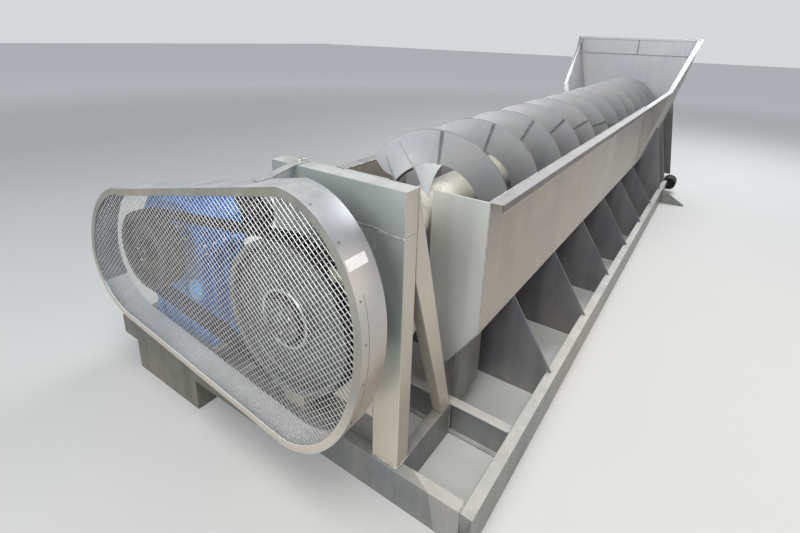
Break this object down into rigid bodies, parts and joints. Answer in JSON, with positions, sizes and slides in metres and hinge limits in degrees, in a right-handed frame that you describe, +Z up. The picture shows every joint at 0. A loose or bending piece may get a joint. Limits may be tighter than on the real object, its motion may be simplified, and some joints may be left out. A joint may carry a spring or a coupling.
{
  "type": "screw conveyor",
  "caption": "Open-trough screw conveyor on a channel skid, with a feed hopper at one end and a guarded belt drive at the other.",
  "frame": {"origin": "on the floor, at the middle of the skid's front face, below the screw's axis", "axes": "+Y from the drive end to the feed hopper, parallel to the screw; +X to the right seen from the drive end; +Z up"},
  "size_m": [2.753, 6.811, 2.158],
  "materials": {
    "painted_steel": "weathered grey paint on steel, streaked",
    "light_steel": "pale grey paint, dusty",
    "screw_steel": "bare plate, dull and scuffed",
    "shaft_paint": "off-white primer",
    "guard_steel": "grey sheet, satin",
    "cast_iron": "grey, machined rims",
    "black_rubber": "matt",
    "motor_blue": "blue enamel"
  },
  "bodies": {
    "frame": {"belt": "black_rubber", "brace_beam": "painted_steel", "brace_left": "painted_steel", "brace_right": "painted_steel", "cheek_left": "light_steel", "cheek_right": "light_steel", "deck_foot_front": "painted_steel", "deck_foot_rear": "painted_steel", "deck_plate": "painted_steel", "drain_pipe": "black_rubber", "drive_plate": "painted_steel", "end_bearing": "cast_iron", "front_beam": "painted_steel", "front_leg_left": "painted_steel", "front_leg_right": "painted_steel", "gear_case": "shaft_paint", "gear_unit_base": "motor_blue", "gear_unit_cover": "motor_blue", "ground_bracket": "painted_steel", "guard_hoop": "guard_steel", "guard_mesh": "guard_steel", "guard_stay": "guard_steel", "head_beam": "painted_steel", "hopper_end": "light_steel", "hopper_rim": "light_steel", "hopper_side_left": "light_steel", "hopper_side_right": "light_steel", "inner_rail_left": "painted_steel", "inner_rail_right": "painted_steel", "ledge_left": "light_steel", "ledge_right": "light_steel", "motor": "motor_blue", "motor_deck": "painted_steel", "post_left": "painted_steel", "post_right": "painted_steel", "rail_left": "painted_steel", "rail_right": "painted_steel", "saddle_1": "painted_steel", "saddle_2": "painted_steel", "saddle_3": "painted_steel", "saddle_4": "painted_steel", "saddle_5": "painted_steel", "saddle_6": "painted_steel", "saddle_7": "painted_steel", "saddle_8": "painted_steel", "skirt_left": "light_steel", "skirt_right": "light_steel", "spout": "light_steel", "trough_floor": "painted_steel", "wall_left": "painted_steel", "wall_right": "painted_steel", "weir_band": "light_steel"},
    "screw": {"screw_shaft": "shaft_paint", "flight_1": "screw_steel", "flight_2": "screw_steel", "flight_3": "screw_steel", "flight_4": "screw_steel", "flight_5": "screw_steel"},
    "drive_pulley": {"large_pulley": "cast_iron"},
    "motor_pulley": {"small_pulley": "cast_iron"}
  },
  "joints": [
    {"name": "screw_spin", "type": "hinge", "parent": "frame", "child": "screw", "pos_m": [0, 3.5, 1.19], "axis": [0, 1, 0], "continuous": true},
    {"name": "drive_pulley_spin", "type": "hinge", "parent": "frame", "child": "drive_pulley", "pos_m": [-0.035, -0.2, 0.98], "axis": [0, 1, 0], "continuous": true},
    {"name": "motor_pulley_spin", "type": "hinge", "parent": "frame", "child": "motor_pulley", "pos_m": [-1.13, -0.2, 0.955], "axis": [0, 1, 0], "continuous": true}
  ],
  "couplings": [
    {"joint": "drive_pulley_spin", "follows": "screw_spin", "ratio": -4},
    {"joint": "motor_pulley_spin", "follows": "screw_spin", "ratio": -6.4186}
  ]
}
